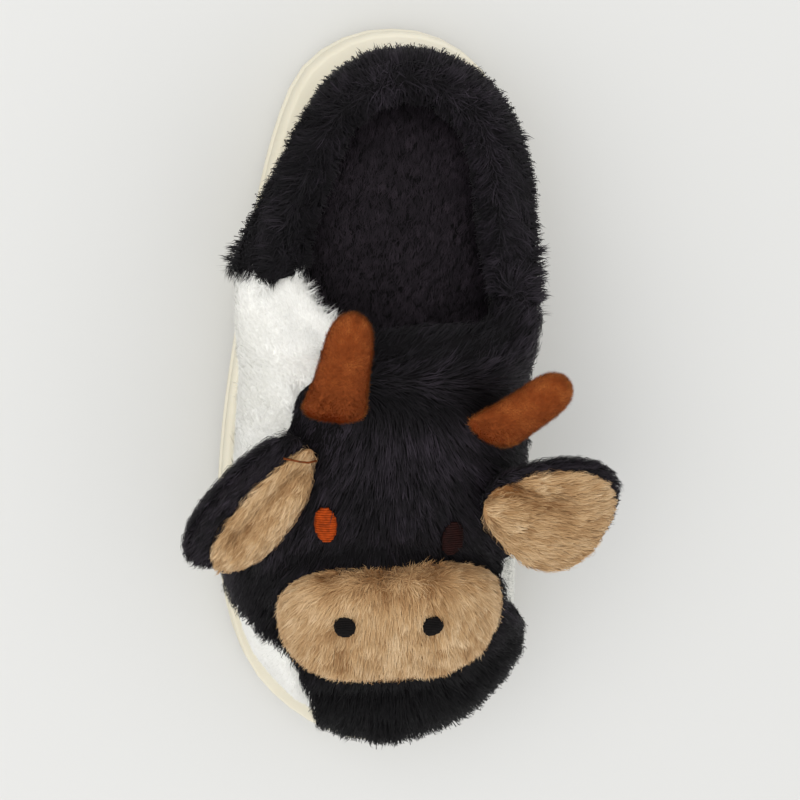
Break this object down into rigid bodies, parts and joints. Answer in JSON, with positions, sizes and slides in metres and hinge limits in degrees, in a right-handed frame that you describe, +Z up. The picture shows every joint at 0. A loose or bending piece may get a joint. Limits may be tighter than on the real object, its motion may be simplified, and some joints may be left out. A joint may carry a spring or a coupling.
{
  "type": "animal slipper",
  "caption": "Plush mule slipper with a cow's face on the vamp, a padded collar round the heel and a thick moulded sole.",
  "frame": {"origin": "on the floor under the middle of the heel, on the flat of the tread, 44 mm in front of the back of the sole", "axes": "+Z up, -Y towards the toe, +Y towards the heel, -X towards the outer side of this right shoe"},
  "size_m": [0.1516, 0.27, 0.1062],
  "materials": {
    "sole_foam": "moulded foam, matt",
    "footbed_plush": "short dark plush",
    "white_plush": "short dense white plush",
    "black_plush": "long black pile",
    "tan_plush": "long tan pile",
    "black_thread": "satin stitch",
    "rust_thread": "satin stitch",
    "rust_velvet": "short velvet"
  },
  "bodies": {
    "root": {"outsole": "sole_foam", "insole": "footbed_plush", "upper": "white_plush", "fur_head": "black_plush", "fur_collar": "black_plush", "muzzle": "tan_plush", "nostril_left": "black_thread", "nostril_right": "black_thread", "eye_left": "rust_thread", "eye_right": "rust_thread", "ear_left_face": "tan_plush", "ear_right_face": "tan_plush", "ear_left_back": "black_plush", "ear_right_back": "black_plush", "horn_left": "rust_velvet", "horn_right": "rust_velvet"}
  },
  "joints": []
}
